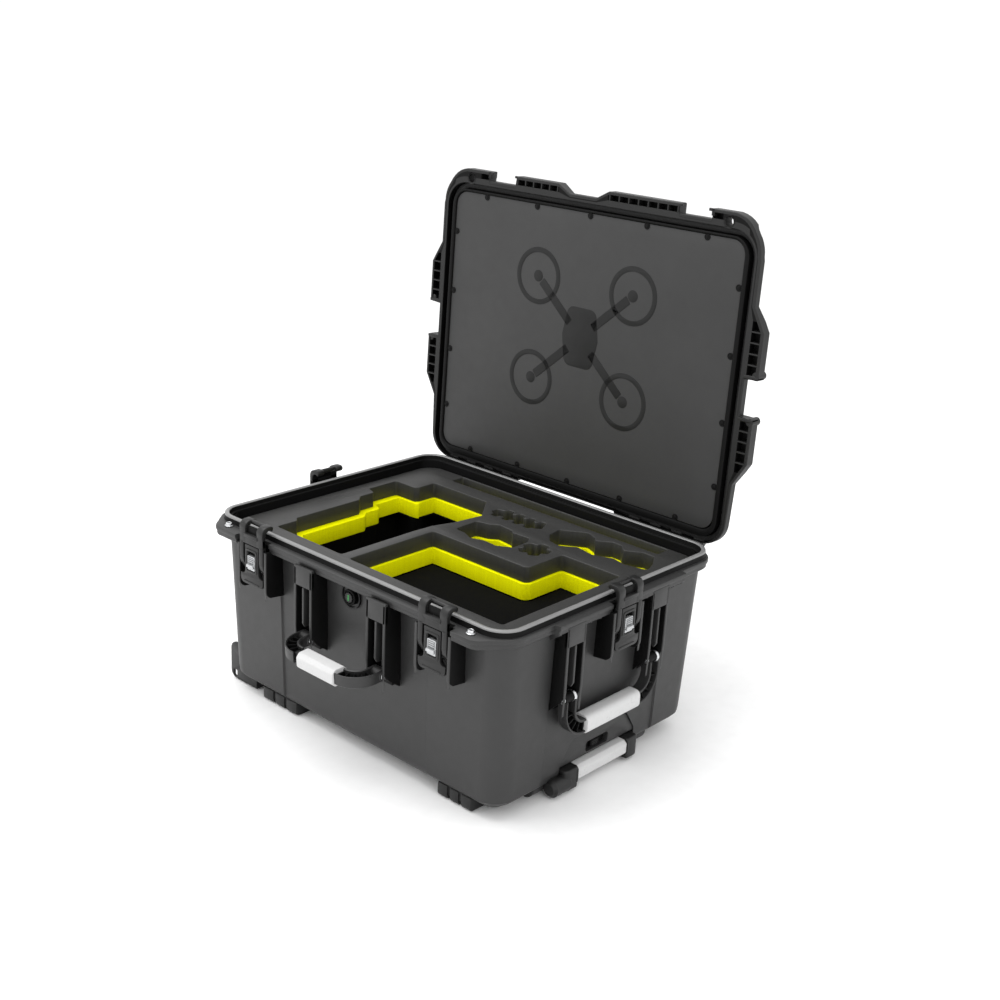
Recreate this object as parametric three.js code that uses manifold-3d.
// Wheeled hard carrying case with a foam insert in four layers, lid open. Millimetres, +Z up.
// Coordinates below are taken from the middle of the base's rim, with z = 0 on the rim ridge's centreline.
// +X runs to the right along the long front side, the front faces -Y and the lid hinges at +Y.
import * as THREE from "three";
import { mergeVertices } from "three/addons/utils/BufferGeometryUtils.js";
import Module from "manifold-3d";

const wasm = await Module();
wasm.setup();

// ---- driving dimensions -------------------------------------------------------------------------

const GAP = 0.4;
const WALL = 5;
const FLOOR_Z = -282;

// stacked rounded rectangles: [z, half length in X, half length in Y, corner radius]
const TUB_OUTSIDE = [
  [-260, 262, 194, 18],
  [-256.5, 270.5, 202.5, 26],
  [-248, 276.5, 208.5, 32],
  [-14, 284, 217, 32],
];
const TUB_INSIDE = [
  [-255, 258, 190, 14],
  [-252, 266, 198, 22],
  [-244, 271.5, 203.5, 28],
  [6, 279, 212, 30],
];
const SKIRT = [
  [-272, 256, 188, 16],
  [-258, 262, 194, 18],
];
const SKIRT_THICKNESS = 6;
const FLANGE = { halfX: 297, front: -243, back: 227.5, radius: 38, bottom: -20, top: -6 };
const SIDE_LIP = { reach: 306, halfY: 146, taper: 16 };
const RIDGE = { halfX: 287.5, halfY: 223, radius: 33, width: 6, top: 4 };

const HINGE = { y: 232.2, z: -3.2, radius: 4.8, pin: 2.1, bore: 2.5, near: 102, far: 262, pitch: 20 };
const LID_OPEN_DEG = 91.878;
const LID = { bottom: -5, flangeTop: 12, halfX: 301, front: -238, back: 231, radius: 40 };
const LID_DOME = [
  [10, 286, 220, 32],
  [16, 286, 220, 32],
  [34, 279, 213, 30],
  [44, 271, 205, 26],
  [50, 260, 194, 20],
];
const LID_HOLLOW = [
  [12, 282, 216, 29],
  [16, 282, 216, 29],
  [32, 275, 209, 27],
  [41, 267, 201, 23],
  [46, 257, 191, 17],
];
const GROOVE = { outer: 4.7, inner: 5.3, top: 9 };
const PANEL = { halfX: 275, front: -214, back: 206.5, radius: 22, bottom: -2.5, top: 0.5 };
const CATCH = { front: -250, side: 321, lip: 5, rib: 2.6, ribs: 5, floor: 7 };

const LATCH = { frontX: 183, frontShift: 5, halfWidth: 26, bay: 27.5, cheek: 4.5, face: 24 };
const CLAW_PIN = { y: -13, z: -53, radius: 2.4 };
const LEVER_PIN = { y: -17.5, z: -21 };

const FRONT_HANDLE = { spread: 74, reach: 42, gripHalf: 43, out: 22, swingDeg: 86 };
const SIDE_HANDLE = { spread: 90, reach: 50, gripHalf: 58, out: 17, swingDeg: 0 };
const BRACKET = { halfWidth: 18, slotHalf: 12.4, top: -18, slotTop: -46, bottom: -142 };
const HANDLE_PIVOT_Z = -122;
const HANDLE_BOSS = 9;
const HANDLE_PIN = 2.5;

const WHEEL = { x: -262, z: -253, radius: 27, hub: 18, from: 154, to: 190, axle: 4 };
const WELL = { x: -229, from: 147, to: 197, top: -219 };
const WHEEL_PLATE = 4;

const TROLLEY = { tubeY: 67, tubeZ: -268.5, tube: 6, tubeEnd: -196, bay: 82, bayX: 262, bayTop: -207 };
const TROLLEY_GRIP = { half: 54, x0: 264.5, x1: 288.5, bottom: -271, top: -247 };

const FOAM_TOP = { top: -15, bottom: -39.4, halfX: 276.8, halfY: 209.6, radius: 30.5 };
const FOAM_MIDDLE = { top: -39.8, bottom: -64.6, halfX: 276.1, halfY: 208.8, radius: 30.5 };
const FOAM_BOTTOM = [
  [-96, 275.1, 207.6, 29.5],
  [-65, 276, 208.6, 30],
];
const FOAM_BASE = [
  [-254.5, 256.8, 188.8, 13],
  [-251.5, 264.8, 196.8, 21],
  [-243.5, 270.8, 202.8, 27],
  [-96.4, 275, 207.5, 29.5],
];
const DRONE_POCKET_FLOOR = -190;
const REMOTE_POCKET_FLOOR = -215;

const COLOUR = {
  shell: 0x4a4a4a,
  black: 0x1c1c1c,
  panel: 0x545454,
  darkFoam: 0x3d3d3c,
  yellowFoam: 0xd9dc00,
  grip: 0xe2e2e2,
  metal: 0xc4c6c8,
};

// ---- solids and placing -------------------------------------------------------------------------

function toSolid(geometry) {
  const bare = geometry.clone();
  bare.deleteAttribute("normal");
  bare.deleteAttribute("uv");
  const merged = mergeVertices(bare, 1e-4);
  const mesh = new wasm.Mesh({
    numProp: 3,
    vertProperties: new Float32Array(merged.attributes.position.array),
    triVerts: new Uint32Array(merged.index.array),
  });
  return new wasm.Manifold(mesh);
}

function toGeometry(solid) {
  const mesh = solid.getMesh();
  const geometry = new THREE.BufferGeometry();
  geometry.setAttribute("position", new THREE.BufferAttribute(mesh.vertProperties, 3));
  geometry.setIndex(new THREE.BufferAttribute(mesh.triVerts, 1));
  geometry.computeVertexNormals();
  return geometry;
}

function joined(...parts) {
  return parts.reduce((sum, part) => sum.add(part));
}

function cutBy(solid, ...tools) {
  return tools.reduce((rest, tool) => rest.subtract(tool), solid);
}

function boxGeometry(x0, x1, y0, y1, z0, z1) {
  const geometry = new THREE.BoxGeometry(x1 - x0, y1 - y0, z1 - z0);
  geometry.translate((x0 + x1) / 2, (y0 + y1) / 2, (z0 + z1) / 2);
  return geometry;
}

function block(...sides) {
  return toSolid(boxGeometry(...sides));
}

// a cylinder along one axis, from a to b, centred on the other two coordinates
function rodGeometry(axis, a, b, first, second, radius, segments = 16) {
  const geometry = new THREE.CylinderGeometry(radius, radius, b - a, segments);
  const middle = (a + b) / 2;
  if (axis === "x") {
    geometry.rotateZ(Math.PI / 2);
    geometry.translate(middle, first, second);
  } else if (axis === "y") {
    geometry.translate(first, middle, second);
  } else {
    geometry.rotateX(Math.PI / 2);
    geometry.translate(first, second, middle);
  }
  return geometry;
}

function rod(...args) {
  return toSolid(rodGeometry(...args));
}

function roundedRect(x0, x1, y0, y1, radius) {
  const shape = new THREE.Shape();
  shape.absarc(x1 - radius, y0 + radius, radius, -Math.PI / 2, 0, false);
  shape.absarc(x1 - radius, y1 - radius, radius, 0, Math.PI / 2, false);
  shape.absarc(x0 + radius, y1 - radius, radius, Math.PI / 2, Math.PI, false);
  shape.absarc(x0 + radius, y0 + radius, radius, Math.PI, Math.PI * 1.5, false);
  shape.closePath();
  return shape;
}

function plateGeometry(shape, z0, z1, curveSegments = 5) {
  const geometry = new THREE.ExtrudeGeometry(shape, { depth: z1 - z0, bevelEnabled: false, curveSegments });
  geometry.translate(0, 0, z0);
  return geometry;
}

function plate(...args) {
  return toSolid(plateGeometry(...args));
}

// a profile drawn in the YZ plane, given thickness from x0 to x1
function sideProfile(points, x0, x1) {
  const shape = points instanceof THREE.Shape ? points : outline(points);
  const geometry = new THREE.ExtrudeGeometry(shape, { depth: x1 - x0, bevelEnabled: false, curveSegments: 5 });
  const along = new THREE.Matrix4().makeBasis(
    new THREE.Vector3(0, 1, 0),
    new THREE.Vector3(0, 0, 1),
    new THREE.Vector3(1, 0, 0),
  );
  geometry.applyMatrix4(along);
  geometry.translate(x0, 0, 0);
  return geometry;
}

// a shape drawn in the XZ plane, given thickness from y0 to y1
function endProfile(shape, y0, y1, curveSegments = 5) {
  const geometry = new THREE.ExtrudeGeometry(shape, { depth: y1 - y0, bevelEnabled: false, curveSegments });
  geometry.rotateX(Math.PI / 2);
  geometry.translate(0, y1, 0);
  return geometry;
}

function outline(points) {
  return new THREE.Shape(points.map(([x, y]) => new THREE.Vector2(x, y)));
}

// a closed solid through stacked rounded rectangles with the same number of points each
function loft(levels, segments = 5) {
  const rings = levels.map(([z, halfX, halfY, radius]) => {
    const ring = [];
    for (let corner = 0; corner < 4; corner += 1) {
      const signX = corner === 0 || corner === 3 ? 1 : -1;
      const signY = corner < 2 ? 1 : -1;
      for (let step = 0; step <= segments; step += 1) {
        const turn = ((corner + step / segments) * Math.PI) / 2;
        const x = signX * (halfX - radius) + radius * Math.cos(turn);
        const y = signY * (halfY - radius) + radius * Math.sin(turn);
        ring.push([x, y, z]);
      }
    }
    return ring;
  });
  const count = rings[0].length;
  const faces = [];
  for (let level = 0; level + 1 < rings.length; level += 1) {
    for (let i = 0; i < count; i += 1) {
      const a = level * count + i;
      const b = level * count + ((i + 1) % count);
      faces.push(a, b, b + count, a, b + count, a + count);
    }
  }
  const last = (rings.length - 1) * count;
  for (let i = 1; i + 1 < count; i += 1) {
    faces.push(0, i + 1, i);
    faces.push(last, last + i, last + i + 1);
  }
  const geometry = new THREE.BufferGeometry();
  geometry.setAttribute("position", new THREE.Float32BufferAttribute(rings.flat(2), 3));
  geometry.setIndex(faces);
  return toSolid(geometry);
}

// a wall station: u along the wall, -y outward, with y = 0 on the rim ridge's centreline
const STATIONS = {
  front: { turn: 0, x: 0, y: -RIDGE.halfY },
  right: { turn: Math.PI / 2, x: RIDGE.halfX, y: 0 },
  left: { turn: -Math.PI / 2, x: -RIDGE.halfX, y: 0 },
};

function atStation(geometry, side, u = 0) {
  const { turn, x, y } = STATIONS[side];
  const placed = geometry.clone();
  placed.translate(u, 0, 0);
  placed.rotateZ(turn);
  placed.translate(x, y, 0);
  return toSolid(placed);
}

function stationGroup(side, u = 0) {
  const { turn, x, y } = STATIONS[side];
  const group = new THREE.Group();
  group.rotation.z = turn;
  group.position.set(x + u * Math.cos(turn), y + u * Math.sin(turn), 0);
  return group;
}

function part(name, source, colour, roughness = 0.6, metalness = 0) {
  const geometry = source instanceof THREE.BufferGeometry ? source : toGeometry(source);
  const material = new THREE.MeshStandardMaterial({ color: colour, roughness, metalness });
  const mesh = new THREE.Mesh(geometry, material);
  mesh.name = name;
  return mesh;
}

function frontLatchX(sign) {
  return LATCH.frontShift + sign * LATCH.frontX;
}

const LATCHES = [
  { name: "latch_front_left", side: "front", u: frontLatchX(-1) },
  { name: "latch_front_right", side: "front", u: frontLatchX(1) },
  { name: "latch_left", side: "left", u: 0 },
  { name: "latch_right", side: "right", u: 0 },
];
const HANDLES = [
  { name: "handle_front", side: "front", middle: 6, size: FRONT_HANDLE },
  { name: "handle_left", side: "left", middle: 9, size: SIDE_HANDLE },
  { name: "handle_right", side: "right", middle: -9, size: SIDE_HANDLE },
];

// ---- base shell ---------------------------------------------------------------------------------

// two upright cheeks that guard a latch, with rounded lower front corners
function latchCheeks() {
  const { bay, cheek, face } = LATCH;
  const profile = [[9, -19], [-face, -19], [-face, -66], [-face + 3, -73], [-face + 9, -76], [9, -77]];
  return [
    sideProfile(profile, -bay - cheek, -bay),
    sideProfile(profile, bay, bay + cheek),
  ];
}

function bracketBody(out) {
  const { halfWidth, top, bottom } = BRACKET;
  const profile = [[13, top], [-out, top], [-out, -116], [-out + 4, -132], [-out + 12, bottom], [13, bottom - 4]];
  return sideProfile(profile, -halfWidth, halfWidth);
}

function bracketSlot(out) {
  const back = -out + HANDLE_BOSS * 2 + 1.5;
  return boxGeometry(-BRACKET.slotHalf, BRACKET.slotHalf, -out - 5, back, BRACKET.bottom - 10, BRACKET.slotTop);
}

function bracketRib(out) {
  return boxGeometry(-1.6, 1.6, -out + 2, -out + HANDLE_BOSS * 2 + 3, -103, BRACKET.slotTop + 3);
}

function knuckle(from, to, webSides) {
  const barrel = rod("x", from, to, HINGE.y, HINGE.z, HINGE.radius, 12);
  const web = block(from, to, ...webSides);
  return barrel.add(web);
}

// base and lid knuckles alternate along both halves of the back
function knuckleSpans(first) {
  const spans = [];
  for (let x = HINGE.near + first * HINGE.pitch; x + 1 < HINGE.far; x += 2 * HINGE.pitch) {
    const to = Math.min(x + HINGE.pitch, HINGE.far);
    spans.push([x + 0.25, to - 0.25], [-to + 0.25, -x - 0.25]);
  }
  return spans;
}

function wheelWells(grow) {
  const { x, from, to, top } = WELL;
  return [-1, 1].map((side) => {
    const ys = [side * (from - grow), side * (to + 3 * grow)].sort((a, b) => a - b);
    return block(-320, x + grow, ys[0], ys[1], -300, top + grow);
  });
}

function trolleyBay(grow) {
  const { bay, bayX, bayTop } = TROLLEY;
  const reach = bay + grow;
  const shape = outline([[-reach, -300], [reach, -300], [reach, -238], [reach - 20, bayTop + grow],
    [-reach + 20, bayTop + grow], [-reach, -238]]);
  return toSolid(sideProfile(shape, bayX - grow, 330));
}

function rimRidge() {
  const half = RIDGE.width / 2;
  const { halfX, halfY, radius, top } = RIDGE;
  const outer = plate(roundedRect(-halfX - half, halfX + half, -halfY - half, halfY + half, radius + half), -8, top);
  const inner = roundedRect(-halfX + half, halfX - half, -halfY + half, halfY - half, radius - half);
  return outer.subtract(plate(inner, -9, top + 1));
}

function sideLip(sign) {
  const { reach, halfY, taper } = SIDE_LIP;
  const points = [[280, -halfY], [292, -halfY], [reach, -halfY + taper], [reach, halfY - taper],
    [292, halfY], [280, halfY]];
  const placed = sign > 0 ? points : points.map(([x, y]) => [-x, y]).reverse();
  return plate(outline(placed), FLANGE.bottom, FLANGE.top - 1);
}

function endFoot(sign) {
  return rod("y", sign * 106 - 18, sign * 106 + 18, 250, FLOOR_Z + 20, 20, 20)
    .intersect(block(226, 274, -130, 130, FLOOR_Z, -266));
}

function bottomSkirt() {
  const [[, halfX, halfY, radius]] = SKIRT;
  const x = halfX - SKIRT_THICKNESS;
  const y = halfY - SKIRT_THICKNESS;
  const hollow = plate(roundedRect(-x, x, -y, y, radius - SKIRT_THICKNESS), -280, TUB_OUTSIDE[0][0]);
  return loft(SKIRT).subtract(hollow);
}

function baseShell() {
  const { halfX, front, back, radius, bottom, top } = FLANGE;
  let body = joined(
    loft(TUB_OUTSIDE),
    bottomSkirt(),
    plate(roundedRect(-halfX, halfX, front, back, radius), bottom, top),
    rimRidge(),
    sideLip(1),
    sideLip(-1),
    endFoot(1),
    endFoot(-1),
  );
  for (const { side, u } of LATCHES) {
    const notch = boxGeometry(-LATCH.bay, LATCH.bay, -40, -9, bottom - 5, top + 5);
    body = body.subtract(atStation(notch, side, u));
    for (const cheek of latchCheeks()) {
      body = body.add(atStation(cheek, side, u));
    }
  }
  for (const { side, middle, size } of HANDLES) {
    for (const u of [middle - size.spread, middle + size.spread]) {
      const bracket = cutBy(atStation(bracketBody(size.out), side, u), atStation(bracketSlot(size.out), side, u));
      body = joined(body, bracket, atStation(bracketRib(size.out), side, u));
    }
  }
  for (const [from, to] of knuckleSpans(0)) {
    body = body.add(knuckle(from, to, [222, 235.5, bottom, top - 0.5]));
  }
  const hollow = cutBy(loft(TUB_INSIDE), ...wheelWells(WALL), trolleyBay(WALL));
  body = cutBy(body, hollow, ...wheelWells(0), trolleyBay(0));
  body = body.subtract(block(240, 300, -TROLLEY.bay, TROLLEY.bay, -300, TUB_OUTSIDE[0][0]));
  return cutBy(body, ...baseBores());
}

function baseBores() {
  const bores = [rod("x", -300, 300, HINGE.y, HINGE.z, HINGE.bore, 12)];
  for (const { side, u } of LATCHES) {
    const pin = rodGeometry("x", -40, 40, CLAW_PIN.y, CLAW_PIN.z, CLAW_PIN.radius + GAP, 10);
    bores.push(atStation(pin, side, u));
  }
  for (const { side, middle, size } of HANDLES) {
    for (const u of [middle - size.spread, middle + size.spread]) {
      const y = -size.out + HANDLE_BOSS;
      const pin = rodGeometry("x", -25, 25, y, HANDLE_PIVOT_Z, HANDLE_PIN + GAP, 10);
      bores.push(atStation(pin, side, u));
    }
  }
  bores.push(rod("x", 250, 270, 0, -236, 2.6, 10));
  return bores;
}

// ---- lid ----------------------------------------------------------------------------------------

// a raised catch on the lid's edge, open underneath between its ribs; u runs from the latch gap outward
function catchShape(start, end, taper, edge, reach) {
  return outline([[start, edge], [start, reach], [end, reach], [end + taper, edge]]);
}

function frontCatch(sign) {
  const near = frontLatchX(sign) - sign * 28;
  const far = LATCH.frontShift + sign * 50;
  const taper = sign * -23;
  const points = [[near, LID.front + 4], [near, CATCH.front], [far, CATCH.front], [far + taper, LID.front + 4]];
  return plate(outline(sign > 0 ? points.reverse() : points), LID.bottom, LID.flangeTop);
}

function frontCatchPockets(sign) {
  const pockets = [];
  const from = 54;
  const to = LATCH.frontX - 28 - 3;
  const pitch = (to - from) / CATCH.ribs;
  for (let i = 0; i < CATCH.ribs; i += 1) {
    const a = from + i * pitch + CATCH.rib / 2;
    const b = from + (i + 1) * pitch - CATCH.rib / 2;
    const xs = [a, b].map((x) => LATCH.frontShift + sign * x).sort((p, q) => p - q);
    pockets.push(block(...xs, CATCH.front + CATCH.lip, LID.front + 5, LID.bottom - 1, CATCH.floor));
  }
  return pockets;
}

function sideCatch(signX, signY) {
  const points = [[LID.halfX - 4, signY * 28], [CATCH.side, signY * 28], [CATCH.side, signY * 94],
    [LID.halfX - 4, signY * 128]];
  const turned = points.map(([x, y]) => [signX * x, y]);
  const shape = signX * signY > 0 ? turned : turned.reverse();
  return plate(outline(shape), LID.bottom, LID.flangeTop);
}

function sideCatchPockets(signX, signY) {
  const pockets = [];
  const pitch = (94 - 31) / 4;
  for (let i = 0; i < 4; i += 1) {
    const a = 31 + i * pitch + CATCH.rib / 2;
    const b = 31 + (i + 1) * pitch - CATCH.rib / 2;
    const ys = signY > 0 ? [a, b] : [-b, -a];
    const xs = signX > 0 ? [LID.halfX - 4, CATCH.side - CATCH.lip] : [-CATCH.side + CATCH.lip, -LID.halfX + 4];
    pockets.push(block(...xs, ...ys, LID.bottom - 1, CATCH.floor));
  }
  return pockets;
}

// the front corners stand a little further out, and carry the padlock holes
function frontCorners() {
  const big = plate(roundedRect(-306, 306, CATCH.front, 200, 42), LID.bottom, LID.flangeTop);
  return [-1, 1].map((sign) => {
    const near = frontLatchX(sign) + sign * 28;
    const xs = [near, sign * 310].sort((a, b) => a - b);
    return big.intersect(block(...xs, -260, -134, LID.bottom - 1, LID.flangeTop + 1));
  });
}

function grooveRing() {
  const { halfX, halfY, radius } = RIDGE;
  const { outer, inner, top } = GROOVE;
  const ring = plate(roundedRect(-halfX - outer, halfX + outer, -halfY - outer, halfY + outer, radius + outer),
    LID.bottom - 1, top);
  const core = roundedRect(-halfX + inner, halfX - inner, -halfY + inner, halfY - inner, radius - inner);
  return ring.subtract(plate(core, LID.bottom - 2, top + 1));
}

function lidShell() {
  const { halfX, front, back, radius, bottom, flangeTop } = LID;
  const recess = roundedRect(-PANEL.halfX - GAP, PANEL.halfX + GAP, PANEL.front - GAP, PANEL.back + GAP, 22);
  const mouth = roundedRect(-PANEL.halfX + 7, PANEL.halfX - 7, PANEL.front + 7, PANEL.back - 7, 18);
  let body = joined(
    loft(LID_DOME),
    plate(roundedRect(-halfX, halfX, front, back, radius), bottom, flangeTop),
    ...frontCorners(),
    frontCatch(1),
    frontCatch(-1),
    ...[-1, 1].flatMap((x) => [-1, 1].map((y) => sideCatch(x, y))),
  );
  body = cutBy(
    body,
    loft(LID_HOLLOW),
    plate(mouth, bottom - 1, 13),
    plate(recess, bottom - 1, PANEL.top + GAP),
    grooveRing(),
    ...frontCatchPockets(1),
    ...frontCatchPockets(-1),
    ...[-1, 1].flatMap((x) => [-1, 1].flatMap((y) => sideCatchPockets(x, y))),
    rod("z", -20, 20, -244, -236, 7, 14),
    rod("z", -20, 20, 244, -236, 7, 14),
  );
  for (const sign of [-1, 1]) {
    const xs = [sign * HINGE.near, sign * (HINGE.far + 1)].sort((a, b) => a - b);
    body = body.subtract(block(...xs, 226.9, 245, bottom - 5, 3));
  }
  body = body.subtract(block(-HINGE.near, HINGE.near, 224.6, 245, bottom - 5, flangeTop + 3));
  for (const sign of [-1, 1]) {
    const u = frontLatchX(sign);
    body = body.subtract(block(u - 28, u + 28, -260, -236, bottom - 5, flangeTop + 5));
    const xs = sign > 0 ? [299, 330] : [-330, -299];
    body = body.subtract(block(...xs, -28, 28, bottom - 5, flangeTop + 5));
  }
  for (const [from, to] of knuckleSpans(1)) {
    body = body.add(knuckle(from, to, [228.6, 235.5, HINGE.z, flangeTop]));
  }
  return cutBy(body, rod("x", -300, 300, HINGE.y, HINGE.z, HINGE.bore, 12));
}

function lidSeal() {
  const { halfX, halfY, radius } = RIDGE;
  const shape = roundedRect(-halfX - 4, halfX + 4, -halfY - 4, halfY + 4, radius + 4);
  shape.holes.push(roundedRect(-halfX + 4, halfX - 4, -halfY + 4, halfY - 4, radius - 4));
  return plateGeometry(shape, RIDGE.top + 0.6, GROOVE.top - GAP);
}

function lidPanel() {
  const { halfX, front, back, radius, bottom, top } = PANEL;
  return plateGeometry(roundedRect(-halfX, halfX, front, back, radius), bottom, top);
}

function lidGroup() {
  const group = new THREE.Group();
  group.position.set(0, HINGE.y, HINGE.z);
  group.rotation.x = -THREE.MathUtils.degToRad(LID_OPEN_DEG);
  const closed = new THREE.Group();
  closed.position.set(0, -HINGE.y, -HINGE.z);
  closed.add(part("lid_shell", lidShell(), COLOUR.shell));
  closed.add(part("lid_panel", lidPanel(), COLOUR.panel));
  closed.add(part("lid_seal", lidSeal(), COLOUR.black, 0.9));
  group.add(closed);
  return group;
}

function hingePins() {
  return [["hinge_pin_left", -HINGE.far - 1, -HINGE.near + 1], ["hinge_pin_right", HINGE.near - 1, HINGE.far + 1]]
    .map(([name, from, to]) => (
      part(name, rodGeometry("x", from, to, HINGE.y, HINGE.z, HINGE.pin, 12), COLOUR.metal, 0.3, 1)));
}

// ---- latches ------------------------------------------------------------------------------------

// the claw: a hooked head over the rim, a window, a bridge and two arms down to the pin
function clawSolid() {
  const w = LATCH.halfWidth;
  const head = [[-25, -12], [-25, 9], [-22, 16], [-16, 19], [-8, 19], [-6, 13], [-14, 13], [-18, 8], [-19, -12]];
  const arm = [[-25, -11], [-19, -11], [-14, -40], [-8, -49], [-8, -56], [-15, -58], [-19, -52], [-25, -40]];
  const full = toSolid(sideProfile(head, -w, w));
  const window = block(-13, 13, -40, 0, 2, 14.6);
  const arms = [-1, 1].map((sign) => {
    const xs = sign > 0 ? [w - 8, w] : [-w, -w + 8];
    return toSolid(sideProfile(arm, ...xs));
  });
  const bore = rod("x", -40, 40, CLAW_PIN.y, CLAW_PIN.z, CLAW_PIN.radius + GAP, 10);
  return cutBy(joined(full.subtract(window), ...arms), bore);
}

function leverSolid() {
  const upper = block(-15, 15, -24, -17.5, -62, -15);
  const lower = toSolid(sideProfile([[-24, -60], [-17.5, -60], [-17.5, -74], [-20, -76], [-24, -74]], -25, 25));
  return joined(upper, lower).subtract(block(-8, 8, -30, -10, -52, -25));
}

function slideSolid() {
  const body = block(-7.4, 7.4, -25.5, -18, -51.5, -31.5);
  const thumb = block(-7.4, 7.4, -28, -24, -44, -40);
  return joined(body, thumb);
}

function latchGroup({ name, side, u }) {
  const group = stationGroup(side, u);
  const { bay, cheek } = LATCH;
  const pin = rodGeometry("x", -bay - cheek + 1, bay + cheek - 1, CLAW_PIN.y, CLAW_PIN.z, CLAW_PIN.radius, 10);
  group.add(part(`${name}_claw`, clawSolid(), COLOUR.black, 0.5));
  group.add(part(`${name}_lever`, leverSolid(), COLOUR.shell, 0.5));
  group.add(part(`${name}_slide`, slideSolid(), COLOUR.metal, 0.35, 0.8));
  group.add(part(`${name}_pin`, pin, COLOUR.metal, 0.3, 1));
  return group;
}

// ---- carrying handles ---------------------------------------------------------------------------

// the U frame, hanging from its pivot line: arms, elbows and a slim core under the grip
function handleFrame({ spread, reach, gripHalf }) {
  const out = spread + 10;
  const inn = spread - 10;
  const low = -reach - 10;
  const high = -reach + 10;
  const shape = new THREE.Shape();
  shape.moveTo(-out, 2);
  shape.lineTo(-out, -reach * 0.45);
  shape.quadraticCurveTo(-out, low, -gripHalf - 6, low);
  shape.lineTo(-gripHalf, low);
  shape.lineTo(-gripHalf, -reach - 4.5);
  shape.lineTo(gripHalf, -reach - 4.5);
  shape.lineTo(gripHalf, low);
  shape.lineTo(gripHalf + 6, low);
  shape.quadraticCurveTo(out, low, out, -reach * 0.45);
  shape.lineTo(out, 2);
  shape.lineTo(inn, 2);
  shape.lineTo(inn, -reach * 0.45);
  shape.quadraticCurveTo(inn, high, gripHalf, high);
  shape.lineTo(gripHalf, -reach + 4.5);
  shape.lineTo(-gripHalf, -reach + 4.5);
  shape.lineTo(-gripHalf, high);
  shape.quadraticCurveTo(-inn, high, -inn, -reach * 0.45);
  shape.lineTo(-inn, 2);
  shape.closePath();
  const flat = new THREE.ExtrudeGeometry(shape, { depth: 12, bevelEnabled: false, curveSegments: 5 });
  flat.translate(0, 0, -6);
  flat.rotateX(Math.PI / 2);
  const bosses = [-spread, spread].map((x) => rod("x", x - 11, x + 11, 0, 0, HANDLE_BOSS, 14));
  const bore = rod("x", -spread - 20, spread + 20, 0, 0, HANDLE_PIN + GAP, 10);
  return cutBy(joined(toSolid(flat), ...bosses), bore);
}

function sleeve(from, to, halfY, halfZ, z, holeY, holeZ) {
  const shape = roundedRect(-halfY, halfY, z - halfZ, z + halfZ, 9);
  shape.holes.push(outline([[-holeY, z - holeZ], [-holeY, z + holeZ], [holeY, z + holeZ], [holeY, z - holeZ]]));
  return sideProfile(shape, from, to);
}

function handleGroup({ name, side, middle, size }) {
  const station = stationGroup(side, middle);
  const pivotY = -size.out + HANDLE_BOSS;
  const swing = new THREE.Group();
  swing.position.set(0, pivotY, HANDLE_PIVOT_Z);
  swing.rotation.x = -THREE.MathUtils.degToRad(size.swingDeg);
  const half = size.gripHalf - GAP;
  swing.add(part(`${name}_frame`, handleFrame(size), COLOUR.black, 0.6));
  swing.add(part(`${name}_grip`, sleeve(-half, half, 12.5, 13.5, -size.reach, 6.5, 5), COLOUR.grip, 0.7));
  station.add(swing);
  for (const [label, u] of [["a", -size.spread], ["b", size.spread]]) {
    const geometry = rodGeometry("x", u - 17, u + 17, pivotY, HANDLE_PIVOT_Z, HANDLE_PIN, 10);
    station.add(part(`${name}_pin_${label}`, geometry, COLOUR.metal, 0.3, 1));
  }
  return station;
}

// ---- trolley handle -----------------------------------------------------------------------------

function trolleyHousing() {
  const body = block(-200, 246, -84, 84, -278, -260.5);
  const bores = [-1, 1].map((sign) => (
    rod("x", -210, 256, sign * TROLLEY.tubeY, TROLLEY.tubeZ, TROLLEY.tube + 0.5, 14)));
  return cutBy(body, ...bores);
}

function trolleyBridge() {
  const { half, x0, x1, bottom, top } = TROLLEY_GRIP;
  const ends = [-1, 1].map((sign) => {
    const ys = [sign * (half + GAP), sign * 80].sort((a, b) => a - b);
    return toSolid(endProfile(roundedRect(x0, x1 + 0.5, -278, top + 1, 7), ...ys, 4));
  });
  const middleX = (x0 + x1) / 2;
  const middleZ = (bottom + top) / 2;
  const core = block(middleX - 5.5, middleX + 5.5, -half - 2, half + 2, middleZ - 5, middleZ + 5);
  const sockets = [-1, 1].map((sign) => (
    rod("x", x0 - 5, 279, sign * TROLLEY.tubeY, TROLLEY.tubeZ, TROLLEY.tube + GAP, 14)));
  return cutBy(joined(...ends, core), ...sockets);
}

function trolleyGrip() {
  const { half, x0, x1, bottom, top } = TROLLEY_GRIP;
  const middleX = (x0 + x1) / 2;
  const middleZ = (bottom + top) / 2;
  const shape = roundedRect(x0, x1, bottom, top, 6);
  shape.holes.push(outline([[middleX - 6, middleZ - 5.5], [middleX - 6, middleZ + 5.5],
    [middleX + 6, middleZ + 5.5], [middleX + 6, middleZ - 5.5]]));
  return endProfile(shape, -half, half);
}

function trolleyParts() {
  const { tube, tubeY, tubeZ, tubeEnd } = TROLLEY;
  const tubeOf = (y) => rodGeometry("x", tubeEnd, 278.6, y, tubeZ, tube, 14);
  const release = joined(block(266.5, 271, -9, 9, -241, -231), rod("x", 260.6, 268, 0, -236, 2.1, 10));
  return [
    part("trolley_housing", trolleyHousing(), COLOUR.black, 0.6),
    part("trolley_bridge", trolleyBridge(), COLOUR.black, 0.55),
    part("trolley_grip", trolleyGrip(), COLOUR.grip, 0.7),
    part("trolley_tube_front", tubeOf(-tubeY), COLOUR.metal, 0.35, 1),
    part("trolley_tube_back", tubeOf(tubeY), COLOUR.metal, 0.35, 1),
    part("trolley_release_button", release, COLOUR.black, 0.5),
  ];
}

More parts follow.
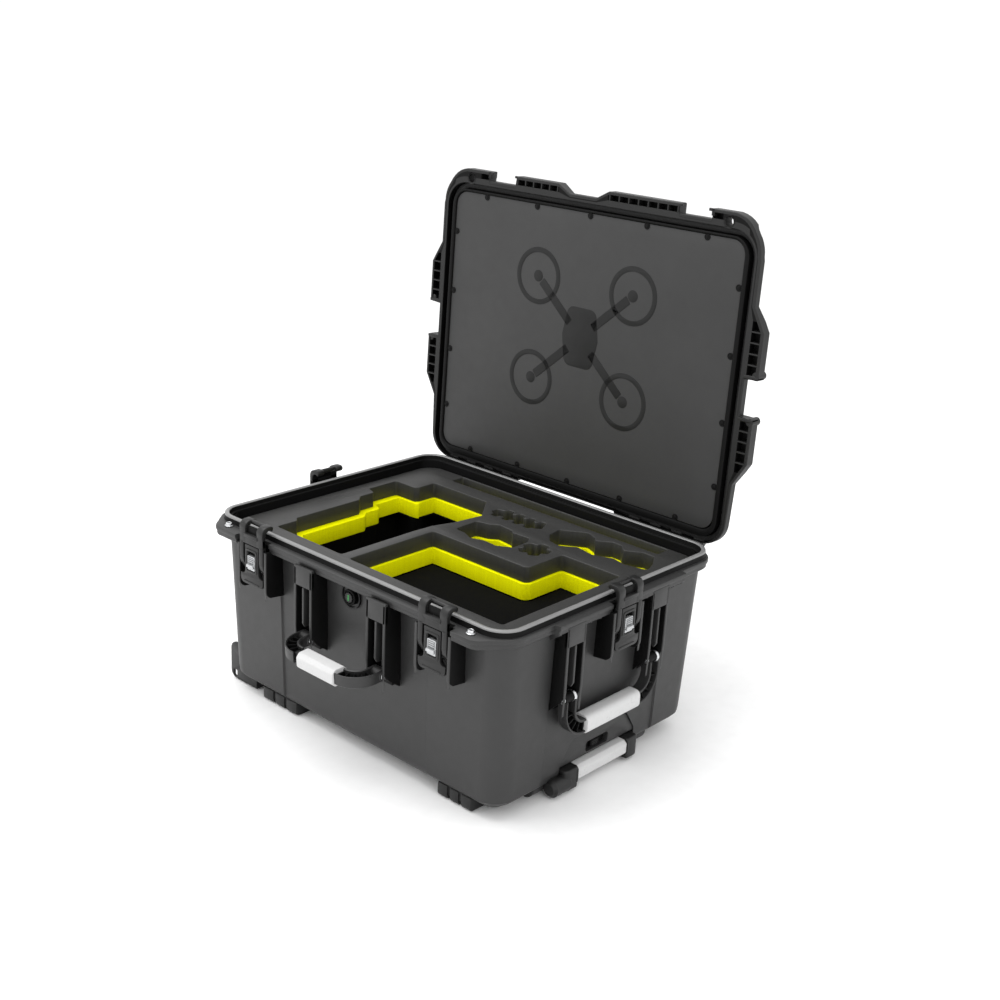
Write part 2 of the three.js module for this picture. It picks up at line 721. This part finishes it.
// ---- wheels and feet ----------------------------------------------------------------------------

function wheelHousing(sign) {
  const { x, from, to, top } = WELL;
  const ys = [sign * (from + GAP), sign * (to - GAP)].sort((a, b) => a - b);
  const outside = roundedRect(-296, x - GAP, FLOOR_Z + 1.5, top - GAP, 14);
  const inside = roundedRect(-330, x - GAP - WHEEL_PLATE, -330, top - GAP - WHEEL_PLATE, 8);
  return cutBy(
    toSolid(endProfile(outside, ...ys, 5)),
    toSolid(endProfile(inside, ys[0] + WHEEL_PLATE, ys[1] - WHEEL_PLATE, 5)),
    rod("y", ys[0] - 5, ys[1] + 5, WHEEL.x, WHEEL.z, WHEEL.axle + GAP, 12),
    block(-289, -281, ys[0] - 5, ys[1] + 5, -277, -266),
  );
}

function wheelGroup(name, sign) {
  const { x, z, radius, hub, from, to, axle } = WHEEL;
  const ys = [sign * from, sign * to].sort((a, b) => a - b);
  const wellYs = [sign * (WELL.from + 1), sign * (WELL.to - 1)].sort((a, b) => a - b);
  const rim = rod("y", ys[0] + 2, ys[1] - 2, x, z, hub, 24)
    .subtract(rod("y", ys[0] - 5, ys[1] + 5, x, z, axle + GAP, 12));
  const tread = rod("y", ys[0], ys[1], x, z, radius, 28)
    .subtract(rod("y", ys[0] - 5, ys[1] + 5, x, z, hub + 0.5, 24));
  return [
    part(`${name}_hub`, rim, COLOUR.shell, 0.5),
    part(`${name}_tyre`, tread, COLOUR.black, 0.9),
    part(`${name}_axle`, rodGeometry("y", wellYs[0], wellYs[1], x, z, axle, 12), COLOUR.metal, 0.3, 1),
    part(`${name}_housing`, wheelHousing(sign), COLOUR.black, 0.6),
  ];
}

// a ribbed skid under the bottom, with a plate that shows in front of the skirt
function skidFoot(x0, x1, sign) {
  const top = SKIRT[0][0] - GAP;
  const ys = (a, b) => [sign * a, sign * b].sort((p, q) => p - q);
  const sole = block(x0, x1, ...ys(150, 206), FLOOR_Z, top);
  const face = block(x0, x1, ...ys(196.5, 206), FLOOR_Z, -261);
  const grooves = [1, 2].map((i) => {
    const x = x0 + ((x1 - x0) * i) / 3;
    return block(x - 4, x + 4, ...ys(140, 203), FLOOR_Z - 1, FLOOR_Z + 8);
  });
  return cutBy(joined(sole, face), ...grooves);
}

function feet() {
  return [
    part("skid_foot_front_left", skidFoot(-205, -128, -1), COLOUR.black, 0.8),
    part("skid_foot_front_right", skidFoot(168, 230, -1), COLOUR.black, 0.8),
    part("skid_foot_back_left", skidFoot(-205, -128, 1), COLOUR.black, 0.8),
    part("skid_foot_back_right", skidFoot(168, 230, 1), COLOUR.black, 0.8),
  ];
}

// ---- foam insert --------------------------------------------------------------------------------

// pocket outlines seen from above
const POCKETS = {
  drone: [[-217, -170], [-217, -130], [-226, -122], [-226, 4], [-237, 12], [-237, 44], [-255, 50], [-255, 109],
    [-212, 109], [-208, 116], [-208, 150], [-92, 150], [-92, 112], [-66, 96], [-66, 8], [-74, 0], [-74, -170]],
  remote: [[-54, -172], [-54, -4], [128, -4], [134, 2], [134, 70], [238, 70], [238, -172]],
  battery: [[-40, 30], [-42, 76], [-10, 92], [22, 88], [60, 84], [68, 40], [46, 24], [0, 18]],
  cable: [[-54, 116], [-56, 138], [-30, 150], [34, 150], [44, 130], [24, 114], [-38, 112]],
  adapter: [[84, 36], [74, 56], [90, 84], [112, 64], [108, 42], [100, 30]],
  propeller: [[68, 112], [65, 146], [100, 168], [122, 154], [163, 166], [183, 154], [225, 168], [244, 120],
    [106, 98]],
};
const BACK_STRIP = { from: -200, to: 222, y: 180 };

function pocketTool(name, bottom, grow = 0) {
  const points = POCKETS[name];
  const middle = points.reduce(([sx, sy], [x, y]) => [sx + x / points.length, sy + y / points.length], [0, 0]);
  const grown = points.map(([x, y]) => (
    [x + Math.sign(x - middle[0]) * grow, y + Math.sign(y - middle[1]) * grow]));
  const shape = outline(grown);
  return plate(shape, bottom, 0);
}

function foamTop() {
  const { top, bottom, halfX, halfY, radius } = FOAM_TOP;
  const slab = plate(roundedRect(-halfX, halfX, -halfY, halfY, radius), bottom, top);
  const strip = block(BACK_STRIP.from, BACK_STRIP.to, BACK_STRIP.y, 230, -60, 0);
  return cutBy(slab, strip, ...Object.keys(POCKETS).map((name) => pocketTool(name, -60)));
}

function foamMiddle() {
  const { top, bottom, halfX, halfY, radius } = FOAM_MIDDLE;
  const slab = plate(roundedRect(-halfX, halfX, -halfY, halfY, radius), bottom, top);
  const through = ["drone", "remote", "battery", "propeller"].map((name) => pocketTool(name, -80, -3));
  return cutBy(slab, ...through);
}

function foamBottom() {
  const through = ["drone", "remote", "battery", "propeller"].map((name) => pocketTool(name, -110, -4));
  return cutBy(loft(FOAM_BOTTOM), ...through);
}

function foamBase() {
  return cutBy(
    loft(FOAM_BASE),
    ...wheelWells(WALL + 1),
    trolleyBay(WALL + 1.5),
    pocketTool("drone", DRONE_POCKET_FLOOR, -4),
    pocketTool("remote", REMOTE_POCKET_FLOOR, -4),
  );
}

// ---- small fittings -----------------------------------------------------------------------------

function bushing(sign) {
  const profile = [[3, -5.6], [5.6, -5.6], [5.6, -3.4], [4.4, -0.4], [3, -0.4], [3, -5.6]];
  const geometry = new THREE.LatheGeometry(profile.map(([r, z]) => new THREE.Vector2(r, z)), 12);
  geometry.rotateX(Math.PI / 2);
  geometry.translate(sign * 244, -236, 0);
  return toSolid(geometry);
}

function fittings() {
  const valveX = 5;
  const valveZ = -40;
  const valveBody = rodGeometry("y", -225, -217.6, valveX, valveZ, 11.5, 20);
  const knob = rod("y", -231, -225.4, valveX, valveZ, 7.5, 12);
  return [
    part("padlock_bushing_left", bushing(-1), COLOUR.metal, 0.3, 1),
    part("padlock_bushing_right", bushing(1), COLOUR.metal, 0.3, 1),
    part("pressure_valve_body", valveBody, COLOUR.black, 0.6),
    part("pressure_valve_knob", knob, COLOUR.shell, 0.5),
  ];
}

// ---- the whole case -----------------------------------------------------------------------------

const drone_case = new THREE.Group();
drone_case.add(part("base_shell", baseShell(), COLOUR.shell));
drone_case.add(lidGroup());
drone_case.add(...hingePins());
for (const latch of LATCHES) {
  drone_case.add(latchGroup(latch));
}
for (const handle of HANDLES) {
  drone_case.add(handleGroup(handle));
}
drone_case.add(...trolleyParts());
drone_case.add(...wheelGroup("wheel_front", -1));
drone_case.add(...wheelGroup("wheel_back", 1));
drone_case.add(...feet());
drone_case.add(part("foam_top", foamTop(), COLOUR.darkFoam, 1));
drone_case.add(part("foam_middle", foamMiddle(), COLOUR.yellowFoam, 1));
drone_case.add(part("foam_bottom", foamBottom(), COLOUR.darkFoam, 1));
drone_case.add(part("foam_base", foamBase(), COLOUR.darkFoam, 1));
drone_case.add(...fittings());

// the origin moves to the middle of the object's footprint, on the surface that it stands on
drone_case.updateMatrixWorld(true);
const bounds = new THREE.Box3().setFromObject(drone_case, true);
const middle = bounds.getCenter(new THREE.Vector3());
drone_case.position.set(-middle.x, -middle.y, -bounds.min.z);

export default drone_case;
